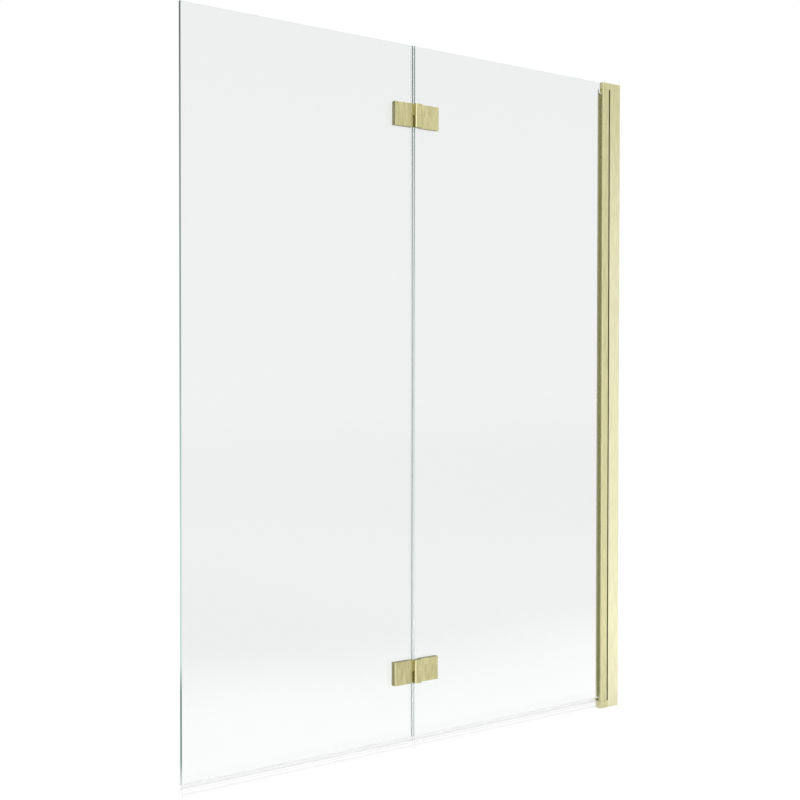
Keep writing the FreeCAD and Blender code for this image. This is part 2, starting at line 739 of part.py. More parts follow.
def all_pieces():
    """Every piece of the screen by its node's name."""
    pieces = {"wall_channel": wall_channel(),
              "wall_post": wall_post(),
              "post_screws": post_screws(),
              "cap_screws": cap_screws(),
              "top_pivot_cap": top_pivot_cap(),
              "bottom_pivot_cap": bottom_pivot_cap(),
              "post_top_lid": post_top_lid(),
              "post_bottom_lid": post_bottom_lid(),
              "top_pivot_pin": top_pivot_pin(),
              "bottom_pivot_pin": bottom_pivot_pin(),
              "pivot_thrust_washer": pivot_thrust_washer(),
              "pivot_profile": pivot_profile(),
              "top_pivot_bush": top_pivot_bush(),
              "bottom_pivot_bush": bottom_pivot_bush(),
              "glazing_gasket": glazing_gasket(),
              "inner_glass": inner_glass(),
              "outer_glass": outer_glass(),
              "inner_bottom_seal": inner_bottom_seal(),
              "outer_bottom_seal": outer_bottom_seal()}
    for name, (z0, z1) in joint_seal_spans().items():
        pieces[name] = joint_seal(z0, z1)
    pieces.update(hinge_pieces("upper", upper_hinge_z))
    pieces.update(hinge_pieces("lower", lower_hinge_z))
    return pieces


os.makedirs("parts", exist_ok=True)
for node, shape in all_pieces().items():
    shape.exportStep("parts/" + node + ".step")
    print(node, "solids", len(shape.Solids), "valid", shape.isValid(), "volume", round(shape.Volume, 1))
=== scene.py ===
import json
import math

import bmesh
import bpy
from mathutils import Matrix, Vector


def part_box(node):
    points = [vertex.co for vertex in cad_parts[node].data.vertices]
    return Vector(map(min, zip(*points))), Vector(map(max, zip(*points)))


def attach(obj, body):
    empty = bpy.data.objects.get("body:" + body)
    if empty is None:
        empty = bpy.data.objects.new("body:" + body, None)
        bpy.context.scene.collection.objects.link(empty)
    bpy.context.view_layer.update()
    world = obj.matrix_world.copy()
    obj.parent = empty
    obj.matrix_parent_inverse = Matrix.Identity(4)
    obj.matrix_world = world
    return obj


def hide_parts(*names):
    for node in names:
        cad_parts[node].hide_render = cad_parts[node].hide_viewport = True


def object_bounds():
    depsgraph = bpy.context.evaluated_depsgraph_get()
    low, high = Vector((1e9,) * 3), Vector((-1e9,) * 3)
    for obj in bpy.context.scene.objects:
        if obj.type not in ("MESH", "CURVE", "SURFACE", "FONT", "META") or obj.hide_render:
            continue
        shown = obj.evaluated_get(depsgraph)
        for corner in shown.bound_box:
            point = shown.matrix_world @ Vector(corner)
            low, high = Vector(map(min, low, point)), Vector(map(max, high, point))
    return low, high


# Folding bath screen: the looks of the glass, the brushed metal and the clear
# seals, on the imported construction. Metres, +Z up, wall face at X = 0.

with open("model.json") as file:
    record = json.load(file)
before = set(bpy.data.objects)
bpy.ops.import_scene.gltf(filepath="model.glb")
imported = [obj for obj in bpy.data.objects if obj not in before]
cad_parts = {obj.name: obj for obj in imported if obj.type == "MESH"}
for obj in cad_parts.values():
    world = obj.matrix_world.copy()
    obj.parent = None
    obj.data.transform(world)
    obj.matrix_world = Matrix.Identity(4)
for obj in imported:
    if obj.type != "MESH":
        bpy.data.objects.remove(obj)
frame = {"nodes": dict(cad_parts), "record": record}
cad_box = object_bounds()
nodes = frame["nodes"]


# Node trees

def put(tree, kind, inputs=None, **settings):
    """Adds a node, with plain values or other nodes' outputs on its inputs."""
    node = tree.nodes.new(kind)
    for name, value in settings.items():
        setattr(node, name, value)
    for key, value in (inputs or {}).items():
        socket = node.inputs[key]
        if isinstance(value, bpy.types.NodeSocket):
            tree.links.new(value, socket)
        else:
            socket.default_value = value
    return node


def math_node(tree, operation, first, second=0.0):
    return put(tree, "ShaderNodeMath", {0: first, 1: second}, operation=operation).outputs[0]


def span(tree, value, low, high, to_low, to_high):
    """Value mapped from one range to another, smooth at both ends."""
    node = put(tree, "ShaderNodeMapRange",
               {"Value": value, "From Min": low, "From Max": high, "To Min": to_low, "To Max": to_high},
               interpolation_type="SMOOTHSTEP")
    return node.outputs["Result"]


def mixed(tree, factor, first, second):
    """Colour between two colours."""
    node = put(tree, "ShaderNodeMix", data_type="RGBA")
    for socket, value in ((node.inputs[0], factor), (node.inputs[6], first), (node.inputs[7], second)):
        if isinstance(value, bpy.types.NodeSocket):
            tree.links.new(value, socket)
        else:
            socket.default_value = value
    return node.outputs[2]


def rgb(red, green, blue):
    return (red, green, blue, 1.0)


def empty_material(name):
    """A new material with nothing but its output node."""
    material = bpy.data.materials.new(name)
    material.use_nodes = True
    tree = material.node_tree
    tree.nodes.clear()
    return material, tree


def surface(tree, shader):
    put(tree, "ShaderNodeOutputMaterial", {"Surface": shader})


# Shared effects

STREAK_LAYERS = ((0.30, 0.22), (0.35, 1.0), (0.50, 5.0))    # share and coarseness of each
STREAKS_PER_METRE = 1300.0


def brushing_group():
    """Upright brushing: broad, fine and hair-fine streaks laid over one another, 0 to 1."""
    tree = bpy.data.node_groups.new("upright_brushing", "ShaderNodeTree")
    face = tree.interface
    face.new_socket("Streaks per metre", in_out="INPUT", socket_type="NodeSocketFloat")
    face.new_socket("Length of a streak", in_out="INPUT", socket_type="NodeSocketFloat")
    face.new_socket("Streaks", in_out="OUTPUT", socket_type="NodeSocketFloat")
    given = put(tree, "NodeGroupInput")
    place = put(tree, "ShaderNodeTexCoord").outputs["Object"]
    across = given.outputs["Streaks per metre"]
    along = math_node(tree, "DIVIDE", 1.0, given.outputs["Length of a streak"])
    layers = []
    for share, coarse in STREAK_LAYERS:
        wide = math_node(tree, "DIVIDE", across, coarse)
        scale = put(tree, "ShaderNodeCombineXYZ", {"X": wide, "Y": wide, "Z": along}).outputs[0]
        stretched = put(tree, "ShaderNodeVectorMath", {0: place, 1: scale}, operation="MULTIPLY")
        noise = put(tree, "ShaderNodeTexNoise",
                    {"Vector": stretched.outputs[0], "Scale": 1.0, "Detail": 2.0, "Roughness": 0.6})
        layers.append(math_node(tree, "MULTIPLY", noise.outputs[0], share))
    streaks = math_node(tree, "ADD", math_node(tree, "ADD", layers[0], layers[1]), layers[2])
    spread = put(tree, "ShaderNodeMapRange", {"Value": streaks, "From Min": 0.425, "From Max": 0.725})
    put(tree, "NodeGroupOutput", {"Streaks": spread.outputs[0]})
    return tree


BRUSHING = brushing_group()


def brushed(tree, length):
    """Brushing with streaks of a given length in metres."""
    node = put(tree, "ShaderNodeGroup", node_tree=BRUSHING)
    node.inputs["Streaks per metre"].default_value = STREAKS_PER_METRE
    node.inputs["Length of a streak"].default_value = length
    return node.outputs["Streaks"]


# Materials

def brushed_metal(name, dark, light, smooth, rough, length, blends=()):
    """Metal brushed upright, its colour and gloss changing with the streaks.

    Each blend takes it to other colours along an axis of its place or of its normal.
    """
    material, tree = empty_material(name)
    streaks = brushed(tree, length)
    bump = put(tree, "ShaderNodeBump", {"Strength": 0.08, "Distance": 0.0002, "Height": streaks})
    coordinates = put(tree, "ShaderNodeTexCoord")
    for coordinate, axis, start, end, other_dark, other_light in blends:
        along = put(tree, "ShaderNodeSeparateXYZ", {0: coordinates.outputs[coordinate]}).outputs[axis]
        share = span(tree, along, start, end, 0.0, 1.0)
        dark = mixed(tree, share, dark, other_dark)
        light = mixed(tree, share, light, other_light)
    metal = put(tree, "ShaderNodeBsdfPrincipled",
                {"Base Color": mixed(tree, streaks, dark, light),
                 "Metallic": 1.0,
                 "Roughness": span(tree, streaks, 0.0, 1.0, rough, smooth),
                 "Normal": bump.outputs["Normal"]})
    surface(tree, metal.outputs[0])
    return material


def grained_plastic(name, dark, light, roughness, glow=(0.0, 0.0, 0.0, 1.0)):
    """Moulded plastic with a fine grain, and a painted glow of emitted light where one is given."""
    material, tree = empty_material(name)
    place = put(tree, "ShaderNodeTexCoord").outputs["Object"]
    grain = put(tree, "ShaderNodeTexNoise", {"Vector": place, "Scale": 1800.0, "Detail": 2.0}).outputs[0]
    bump = put(tree, "ShaderNodeBump", {"Strength": 0.15, "Distance": 0.0001, "Height": grain})
    plastic = put(tree, "ShaderNodeBsdfPrincipled",
                  {"Base Color": mixed(tree, grain, dark, light),
                   "Roughness": roughness,
                   "Emission Color": glow, "Emission Strength": 1.0,
                   "Normal": bump.outputs["Normal"]})
    surface(tree, plastic.outputs[0])
    return material


def clear_material(name, tint, roughness, index, shade, alpha=1.0):
    """See-through material that lets light through to the floor, its faces very slightly waved."""
    material, tree = empty_material(name)
    place = put(tree, "ShaderNodeTexCoord").outputs["Object"]
    waves = put(tree, "ShaderNodeTexNoise", {"Vector": place, "Scale": 4.0, "Detail": 1.0}).outputs[0]
    bump = put(tree, "ShaderNodeBump", {"Strength": 0.5, "Distance": 0.0005, "Height": waves})
    body = put(tree, "ShaderNodeBsdfPrincipled",
               {"Base Color": tint, "Roughness": roughness, "IOR": index, "Specular IOR Level": 0.15,
                "Transmission Weight": 1.0, "Alpha": alpha, "Normal": bump.outputs["Normal"]})
    open_air = put(tree, "ShaderNodeBsdfTransparent", {"Color": shade})
    shadow_ray = put(tree, "ShaderNodeLightPath").outputs["Is Shadow Ray"]
    both = put(tree, "ShaderNodeMixShader", {0: shadow_ray, 1: body.outputs[0], 2: open_air.outputs[0]})
    surface(tree, both.outputs[0])
    return material


def bottom_seal_material(name):
    """Soft clear seal: all but lost on the glass, seen in its hollow, its fins and its cut ends."""
    material, tree = empty_material(name)
    coordinates = put(tree, "ShaderNodeTexCoord")
    height = put(tree, "ShaderNodeSeparateXYZ", {0: coordinates.outputs["Object"]}).outputs["Z"]
    facing = put(tree, "ShaderNodeSeparateXYZ", {0: coordinates.outputs["Normal"]}).outputs["X"]
    cut_end = span(tree, math_node(tree, "ABSOLUTE", facing), 0.5, 0.9, 0.0, 1.0)
    tips = span(tree, height, *FIN_TIPS, 0.06, 0.28)
    fins = span(tree, height, *FIN_ROOTS, tips, 0.03)
    chamber = span(tree, height, *SEAL_HOLLOW, fins, 0.20)
    body = span(tree, height, GLASS_BOTTOM - 0.001, GLASS_BOTTOM + 0.002, chamber, 0.015)
    seal = put(tree, "ShaderNodeBsdfPrincipled",
               {"Base Color": mixed(tree, cut_end, rgb(0.78, 0.78, 0.78), rgb(0.45, 0.46, 0.46)),
                "Roughness": 0.25, "IOR": 1.3, "Transmission Weight": 1.0,
                "Alpha": math_node(tree, "MAXIMUM", body, cut_end)})
    open_air = put(tree, "ShaderNodeBsdfTransparent", {"Color": rgb(0.95, 0.95, 0.95)})
    shadow_ray = put(tree, "ShaderNodeLightPath").outputs["Is Shadow Ray"]
    both = put(tree, "ShaderNodeMixShader", {0: shadow_ray, 1: seal.outputs[0], 2: open_air.outputs[0]})
    surface(tree, both.outputs[0])
    return material


def tone_by_height(tree, tones):
    """Colour ramp over the height in metres."""
    place = put(tree, "ShaderNodeTexCoord").outputs["Object"]
    height = put(tree, "ShaderNodeSeparateXYZ", {0: place}).outputs["Z"]
    share = put(tree, "ShaderNodeMapRange", {"Value": height, "From Max": SCREEN_HEIGHT}).outputs[0]
    ramp = put(tree, "ShaderNodeValToRGB", {"Fac": share})
    points = ramp.color_ramp.elements
    points.remove(points[0])
    for step, (at, tone) in enumerate(tones):
        point = points[0] if step == 0 else points.new(at / SCREEN_HEIGHT)
        point.position = at / SCREEN_HEIGHT
        point.color = tone
    return ramp.outputs["Color"]


def ground_edge(name, tones, front_tones=None, front_end=-0.001):
    """Ground edge with painted light: a glow and tones over the height, green as the glass, its front part
    in tones of its own.
    """
    material, tree = empty_material(name)
    tone = tone_by_height(tree, tones)
    if front_tones:
        place = put(tree, "ShaderNodeTexCoord").outputs["Object"]
        depth = put(tree, "ShaderNodeSeparateXYZ", {0: place}).outputs["Y"]
        front = span(tree, depth, front_end - EDGE_BLEND, front_end + EDGE_BLEND, 1.0, 0.0)
        tone = mixed(tree, front, tone, tone_by_height(tree, front_tones))
    edge = put(tree, "ShaderNodeBsdfPrincipled",
               {"Base Color": mixed(tree, 0.5, tone, rgb(0.0, 0.0, 0.0)), "Roughness": 0.35,
                "Emission Color": tone, "Emission Strength": 0.6})
    surface(tree, edge.outputs[0])
    return material


SCREEN_HEIGHT = cad_box[1].z
GLASS_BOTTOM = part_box("outer_glass")[0].z
FOLD_X = sum(corner.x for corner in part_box("upper_hinge_pin")) / 2
FIN_TIPS = (0.0045, 0.007)         # heights over which the bottom seal's clearness changes
FIN_ROOTS = (0.0085, 0.011)
SEAL_HOLLOW = (0.0158, 0.0170)
EDGE_BLEND = 0.0004
GOLD_DARK = rgb(0.425, 0.394, 0.198)
GOLD_LIGHT = rgb(0.674, 0.632, 0.345)
PALER_DARK = rgb(0.465, 0.43, 0.22)
PALER_LIGHT = rgb(0.713, 0.669, 0.369)
PROFILE_DARK = rgb(0.545, 0.517, 0.286)
PROFILE_LIGHT = rgb(0.738, 0.701, 0.406)
# Painted light: paler tones for the lower half of the profile.
PROFILE_LIT_FOOT_DARK = rgb(0.575, 0.545, 0.302)
PROFILE_LIT_FOOT_LIGHT = rgb(0.779, 0.74, 0.428)
# Painted sheen: the post is the profile's gold, painted paler for the brighter light on its face.
POST_SHEEN_DARK = rgb(0.721, 0.688, 0.448)
POST_SHEEN_LIGHT = rgb(0.877, 0.845, 0.573)
# Painted light: paler tones for the lower half of the post.
POST_LIT_FOOT_DARK = rgb(0.757, 0.722, 0.47)
POST_LIT_FOOT_LIGHT = rgb(0.92, 0.887, 0.60)
SHADED_DARK = rgb(0.32, 0.265, 0.06)
SHADED_LIGHT = rgb(0.40, 0.335, 0.085)
# Painted highlight on the round corners of the hinges.
CORNER_HIGHLIGHT_DARK = rgb(0.64, 0.60, 0.33)
CORNER_HIGHLIGHT_LIGHT = rgb(0.89, 0.85, 0.50)
# Painted shade on the outer plate beside the knuckle.
KNUCKLE_SHADE_DARK = rgb(0.34, 0.31, 0.13)
KNUCKLE_SHADE_LIGHT = rgb(0.54, 0.50, 0.25)

# The outer plate has painted shade towards its end at the knuckle, and the inner plate is paler.
# Round corners carry a painted highlight, and flat ends, which look along X, are as the plate is.
plate_tones = [("Object", "X", FOLD_X - 0.0224, FOLD_X - 0.0119, KNUCKLE_SHADE_DARK, KNUCKLE_SHADE_LIGHT),
               ("Object", "X", FOLD_X - 0.0119, FOLD_X - 0.0109, GOLD_DARK, GOLD_LIGHT),
               ("Object", "X", FOLD_X - 0.0064, FOLD_X + 0.0186, PALER_DARK, PALER_LIGHT)]
corner_highlight_tones = [("Normal", "X", side * start, side * end, dark, light) for side in (-1, 1)
                      for start, end, dark, light in ((0.10, 0.35, CORNER_HIGHLIGHT_DARK, CORNER_HIGHLIGHT_LIGHT),
                                                      (0.80, 0.95, GOLD_DARK, GOLD_LIGHT))]
hinge_gold = brushed_metal("hinge_gold", GOLD_DARK, GOLD_LIGHT, smooth=0.24, rough=0.34, length=0.025,
                           blends=plate_tones + corner_highlight_tones)

# Profile and post carry painted light in the lower half, the post painted shade at its top, and the post's
# face in the gap beside the profile painted shade.
LIT_LOWER_HALF = (0.95, 0.5)
SHADED_HEAD = (0.98, 1.46)
GAP_FACE = (-0.7, -0.95)
profile_gold = brushed_metal("profile_gold", PROFILE_DARK, PROFILE_LIGHT,
                             smooth=0.24, rough=0.34, length=0.04,
                             blends=[("Object", "Z", *LIT_LOWER_HALF, PROFILE_LIT_FOOT_DARK, PROFILE_LIT_FOOT_LIGHT)])
post_gold = brushed_metal("post_gold", POST_SHEEN_DARK, POST_SHEEN_LIGHT, smooth=0.28, rough=0.38, length=0.04,
                          blends=[("Object", "Z", *LIT_LOWER_HALF, POST_LIT_FOOT_DARK, POST_LIT_FOOT_LIGHT),
                                  ("Object", "Z", *SHADED_HEAD, PROFILE_DARK, PROFILE_LIGHT),
                                  ("Normal", "X", *GAP_FACE, SHADED_DARK, SHADED_LIGHT)])
channel_aluminium = brushed_metal("channel_aluminium", rgb(0.58, 0.59, 0.60), rgb(0.72, 0.73, 0.74),
                                  smooth=0.3, rough=0.45, length=0.3)
steel = brushed_metal("steel", rgb(0.50, 0.50, 0.50), rgb(0.62, 0.62, 0.62),
                      smooth=0.2, rough=0.32, length=0.004)
gold_lid = grained_plastic("gold_lid", rgb(0.50, 0.46, 0.25), rgb(0.58, 0.54, 0.30), roughness=0.45)
bush_plastic = grained_plastic("bush_plastic", rgb(0.76, 0.76, 0.74), rgb(0.84, 0.84, 0.82), roughness=0.4)
gasket_in_gold = grained_plastic("gasket_in_gold", rgb(0.45, 0.425, 0.24), rgb(0.54, 0.51, 0.29),
                                 roughness=0.35)
# Painted shade and light: the gasket's dark olive stands in for the shaded gold of the slot, its glow for
# light the pane brings in.
slot_gasket = grained_plastic("slot_gasket", rgb(0.155, 0.15, 0.03), rgb(0.20, 0.193, 0.045), roughness=0.4,
                              glow=rgb(0.072, 0.07, 0.016))
clear_glass = clear_material("clear_glass", rgb(0.949, 0.964, 0.958), roughness=0.0, index=1.5,
                             shade=rgb(0.90, 0.92, 0.91))
clear_seal = clear_material("clear_seal", rgb(0.96, 0.965, 0.962), roughness=0.05, index=1.4,
                            shade=rgb(0.95, 0.95, 0.95), alpha=0.16)
bottom_seal = bottom_seal_material("bottom_seal")
# Painted light and shade: the edges' tones over the height and their glow stand in for the light and shade
# seen in them; the green is the glass's own.
free_edge = ground_edge("free_edge", [(0.030, rgb(0.60, 0.62, 0.61)), (0.062, rgb(0.13, 0.205, 0.18)),
                                      (0.190, rgb(0.12, 0.20, 0.175)), (0.240, rgb(0.51, 0.70, 0.65)),
                                      (0.450, rgb(0.50, 0.69, 0.64)), (0.800, rgb(0.23, 0.355, 0.32)),
                                      (1.080, rgb(0.21, 0.28, 0.265)), (1.360, rgb(0.10, 0.105, 0.10))])
fold_edge = ground_edge("fold_edge",
                        [(0.10, rgb(0.88, 0.92, 0.90)), (1.30, rgb(0.96, 1.0, 0.98))],
                        [(0.06, rgb(0.36, 0.41, 0.39)), (0.25, rgb(0.74, 0.79, 0.77)),
                         (0.75, rgb(0.52, 0.58, 0.56)), (1.30, rgb(0.09, 0.125, 0.11))])
shut_edge = ground_edge("shut_edge",
                        [(0.10, rgb(0.03, 0.05, 0.045)), (0.45, rgb(0.35, 0.39, 0.38)),
                         (0.70, rgb(0.63, 0.67, 0.66)), (0.90, rgb(0.63, 0.67, 0.66)),
                         (1.15, rgb(0.34, 0.38, 0.37)), (1.30, rgb(0.08, 0.11, 0.10))],
                        [(0.10, rgb(0.92, 0.96, 0.95)), (0.45, rgb(0.36, 0.40, 0.39)),
                         (0.70, rgb(0.06, 0.09, 0.08)), (1.30, rgb(0.17, 0.20, 0.19))],
                        front_end=0.0006)
pale_edge = ground_edge("pale_edge", [(0.10, rgb(0.90, 0.93, 0.92)), (1.30, rgb(0.90, 0.93, 0.92))])

FINISHES = {"brushed_gold": profile_gold, "hinge_gold": hinge_gold, "gold_lid": gold_lid,
            "channel_aluminium": channel_aluminium, "clear_glass": clear_glass,
            "clear_seal": clear_seal, "clear_gasket": gasket_in_gold,
            "bush_plastic": bush_plastic, "steel": steel}

OWN_FINISHES = {"wall_post": post_gold, "glazing_gasket": slot_gasket,
                "outer_bottom_seal": bottom_seal, "inner_bottom_seal": bottom_seal}

for part in frame["record"]["subparts"]:
    finish = OWN_FINISHES.get(part["node"]) or FINISHES[part["material_slot"]]
    slots = nodes[part["node"]].data.materials
    slots.clear()
    slots.append(finish)


# Glass panes

EDGE_BAND = 0.001
SEAT_GAP = 0.00002


def glass_pane(name, body, node, left_edge, right_edge):
    """Copy of a pane, a hair clear of what holds it, its faces clear and its ground edges tinted."""
    mesh = nodes[node].data.copy()
    mesh.materials.clear()
    for finish in (clear_glass, left_edge, right_edge, pale_edge):
        mesh.materials.append(finish)
    low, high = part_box(node)
    shape = bmesh.new()
    shape.from_mesh(mesh)
    bmesh.ops.remove_doubles(shape, verts=shape.verts, dist=1e-6)
    centre = (low + high) / 2
    shrink = Vector((1 - 2 * SEAT_GAP / size for size in high - low))
    for corner in shape.verts:
        corner.co = centre + (corner.co - centre) * shrink
    shape.normal_update()
    for face in shape.faces:
        face.smooth = False
        middle = face.calc_center_median().x
        if abs(face.normal.y) > 0.9:
            face.material_index = 0
        elif middle < low.x + EDGE_BAND:
            face.material_index = 1
        elif middle > high.x - EDGE_BAND:
            face.material_index = 2
        else:
            face.material_index = 3
    shape.to_mesh(mesh)
    shape.free()
    pane = bpy.data.objects.new(name, mesh)
    bpy.context.scene.collection.objects.link(pane)
    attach(pane, body)
    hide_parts(node)
    return pane


glass_pane("outer_pane", "outer_panel", "outer_glass", free_edge, shut_edge)
glass_pane("inner_pane", "inner_panel", "inner_glass", fold_edge, pale_edge)


# Discs and screws

def growth_tree(name, sizes):
    """Empty geometry tree with points, named sizes and a material to work from."""
    tree = bpy.data.node_groups.new(name, "GeometryNodeTree")
    tree.interface.new_socket("Points", in_out="INPUT", socket_type="NodeSocketGeometry")
    for size in sizes:
        tree.interface.new_socket(size, in_out="INPUT", socket_type="NodeSocketFloat")
    tree.interface.new_socket("Material", in_out="INPUT", socket_type="NodeSocketMaterial")
    tree.interface.new_socket("Geometry", in_out="OUTPUT", socket_type="NodeSocketGeometry")
    return tree, put(tree, "NodeGroupInput").outputs


def set_on_points(tree, given, shape, turn):
    """Ends a tree: one shape on each point, turned to its axis, in one material."""
    placed = put(tree, "GeometryNodeInstanceOnPoints",
                 {"Points": given["Points"], "Instance": shape, "Rotation": (math.radians(turn), 0.0, 0.0)})
    real = put(tree, "GeometryNodeRealizeInstances", {"Geometry": placed.outputs[0]})
    done = put(tree, "GeometryNodeSetMaterial",
               {"Geometry": real.outputs[0], "Material": given["Material"]})
    put(tree, "NodeGroupOutput", {"Geometry": done.outputs[0]})


def disc_tree():
    """Turned disc with rounded rims and a sunk bore, its sunk face towards +Y."""
    tree, given = growth_tree("turned_disc",
                              ["Radius", "Bore radius", "Sink radius", "Thickness", "Rim radius"])
    rail_radius = math_node(tree, "MULTIPLY", given["Radius"], 0.5)

    def corner(radius, height):
        along = math_node(tree, "SUBTRACT", given[radius], rail_radius)
        return put(tree, "ShaderNodeCombineXYZ", {"X": along, "Y": height}).outputs[0]

    under = math_node(tree, "MULTIPLY", given["Thickness"], -1.0)
    section = put(tree, "GeometryNodeCurvePrimitiveQuadrilateral",
                  {"Point 1": corner("Bore radius", under), "Point 2": corner("Radius", under),
                   "Point 3": corner("Radius", 0.0), "Point 4": corner("Sink radius", 0.0)}, mode="POINTS")
    rounded = put(tree, "GeometryNodeFilletCurve",
                  {"Curve": section.outputs[0], "Count": 5, "Radius": given["Rim radius"],
                   "Limit Radius": True}, mode="POLY")
    rail = put(tree, "GeometryNodeCurvePrimitiveCircle", {"Radius": rail_radius, "Resolution": 72})
    turned = put(tree, "GeometryNodeCurveToMesh",
                 {"Curve": rail.outputs[0], "Profile Curve": rounded.outputs[0]})
    set_on_points(tree, given, turned.outputs[0], 90.0)
    return tree


def screw_tree():
    """Screw with a hexagon socket, its head's face on the point and towards +Y."""
    tree, given = growth_tree("socket_screw", ["Face radius", "Neck radius", "Head height", "Socket radius",
                                               "Socket depth", "Shank radius", "Length"])

    def stand(node, height):
        """Moves a shape up or down its own axis."""
        place = put(tree, "ShaderNodeCombineXYZ", {"Z": height}).outputs[0]
        moved = put(tree, "GeometryNodeTransform", {"Geometry": node.outputs[0], "Translation": place})
        return moved.outputs[0]

    head = put(tree, "GeometryNodeMeshCone",
               {"Vertices": 48, "Radius Top": given["Face radius"], "Radius Bottom": given["Neck radius"],
                "Depth": given["Head height"]})
    head = stand(head, math_node(tree, "MULTIPLY", given["Head height"], -1.0))
    socket = put(tree, "GeometryNodeMeshCylinder",
                 {"Vertices": 6, "Radius": given["Socket radius"],
                  "Depth": math_node(tree, "MULTIPLY", given["Socket depth"], 2.0)})
    bored = put(tree, "GeometryNodeMeshBoolean", {"Mesh 1": head, "Mesh 2": socket.outputs[0]},
                operation="DIFFERENCE")
    shank_length = math_node(tree, "SUBTRACT", given["Length"], given["Head height"])
    shank = put(tree, "GeometryNodeMeshCylinder",
                {"Vertices": 32, "Radius": given["Shank radius"], "Depth": shank_length})
    both_ends = math_node(tree, "ADD", given["Length"], given["Head height"])
    middle = math_node(tree, "MULTIPLY", both_ends, -0.5)
    whole = put(tree, "GeometryNodeJoinGeometry", {"Geometry": bored.outputs[0]})
    tree.links.new(stand(shank, middle), whole.inputs["Geometry"])
    set_on_points(tree, given, whole.outputs[0], -90.0)
    return tree


def grown(name, body, replaced, tree, points, values):
    """Piece that a geometry tree makes on a body, in place of nodes of the construction."""
    seed = bpy.data.meshes.new(name + "_points")
    seed.from_pydata(points, [], [])
    piece = bpy.data.objects.new(name, seed)
    bpy.context.scene.collection.objects.link(piece)
    growth = piece.modifiers.new("growth", "NODES")
    growth.node_group = tree
    for item in tree.interface.items_tree:
        if item.in_out == "INPUT" and item.name in values:
            growth[item.identifier] = values[item.name]
    mesh = bpy.data.meshes.new_from_object(piece.evaluated_get(bpy.context.evaluated_depsgraph_get()))
    piece.modifiers.remove(growth)
    piece.data = mesh
    mesh.shade_smooth()
    mesh.set_sharp_from_angle(angle=math.radians(32.0))
    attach(piece, body)
    for node in replaced:
        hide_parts(node)
    return piece


def row_middles(node, count):
    """Back middles of equal round pieces that stand one above another in a node."""
    low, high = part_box(node)
    radius = (high.x - low.x) / 2
    pitch = (high.z - low.z - 2 * radius) / (count - 1)
    return [((low.x + high.x) / 2, high.y, low.z + radius + step * pitch) for step in range(count)]


DISC = disc_tree()
SCREW = screw_tree()
for panel in ("outer", "inner"):
    disc_nodes = [f"{hinge}_hinge_{panel}_clamp_discs" for hinge in ("upper", "lower")]
    screw_nodes = [f"{hinge}_hinge_{panel}_clamp_screws" for hinge in ("upper", "lower")]
    backs = [place for node in disc_nodes for place in row_middles(node, 2)]
    low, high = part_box(disc_nodes[0])
    grown(f"{panel}_clamp_discs", f"{panel}_panel", disc_nodes, DISC, backs,
          {"Radius": (high.x - low.x) / 2, "Bore radius": 0.00303, "Sink radius": 0.00553,
           "Thickness": high.y - low.y, "Rim radius": 0.0011, "Material": hinge_gold})
    low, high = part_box(screw_nodes[0])
    grown(f"{panel}_clamp_screws", f"{panel}_panel", screw_nodes, SCREW, backs,
          {"Face radius": 0.0055, "Neck radius": 0.003, "Head height": 0.0025, "Socket radius": 0.0022,
           "Socket depth": 0.002, "Shank radius": 0.003, "Length": high.y - low.y, "Material": steel})

BUTTON_SCREWS = (("post_button_screws", "post_screws", 3), ("cap_button_screws", "cap_screws", 2))
for name, node, count in BUTTON_SCREWS:
    low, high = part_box(node)
    grown(name, "wall", [node], SCREW, row_middles(node, count),
          {"Face radius": 0.0023, "Neck radius": 0.003, "Head height": 0.0016, "Socket radius": 0.00135,
           "Socket depth": 0.0008, "Shank radius": 0.0015, "Length": high.y - low.y, "Material": steel})


# Floor, light and camera

# Bearings are in degrees, from straight in front of the screen to its right.
# Each light has its bearing, the cosine at which it starts, its falloff and its level.
SURROUNDING_LEVEL = 0.30
BROAD_FRONT_LIGHT = (-8.0, 0.0, 0.35, 0.95)
NARROW_FRONT_LIGHT = (-25.0, 0.90, 1.5, 0.6)
BACK_LIGHT = (180.0, 0.0, 2.0, 0.30)
WHITE = rgb(1.0, 1.0, 1.0)
FLOOR_REACH = 30.0
FLOOR_DROP = 0.0005
FLOOR_PAINT = rgb(0.8, 0.8, 0.8)
FLOOR_GLOW_SHARE = 0.9
LIGHT_POOL_PLACE = (-0.72, -0.65, 0.0)
SCREEN_MIDDLE = (-0.5, 0.0, 0.0)
CAMERA_PLACE = (-2.17829, -2.05162, 0.74348)
CAMERA_ANGLES = (37.299, 1.0093, 0.0564)    # yaw, pitch and roll
CAMERA_LENS = 58.66


def towards(tree, direction, bearing, start, power):
    """Zero to one as a direction turns to a bearing."""
    turn = math.radians(bearing)
    along = put(tree, "ShaderNodeVectorMath", {0: direction, 1: (math.sin(turn), -math.cos(turn), 0.0)},
                operation="DOT_PRODUCT").outputs["Value"]
    share = put(tree, "ShaderNodeMapRange", {"Value": along, "From Min": start}).outputs[0]
    return math_node(tree, "POWER", share, power)


def mirrored_level(tree, direction):
    """How bright the surroundings look in the metal: lights in front, dim sides, some light behind."""
    level = SURROUNDING_LEVEL
    for bearing, start, power, amount in (BROAD_FRONT_LIGHT, NARROW_FRONT_LIGHT, BACK_LIGHT):
        share = math_node(tree, "MULTIPLY", towards(tree, direction, bearing, start, power), amount)
        level = math_node(tree, "ADD", share, level)
    return level


def straight_sight(tree, path):
    """One for what the camera sees itself or through glass, zero for what is mirrored."""
    unmirrored = math_node(tree, "LESS_THAN", path.outputs["Glossy Depth"], 0.5)
    through = math_node(tree, "MULTIPLY", path.outputs["Is Transmission Ray"], unmirrored)
    return math_node(tree, "MAXIMUM", path.outputs["Is Camera Ray"], through)


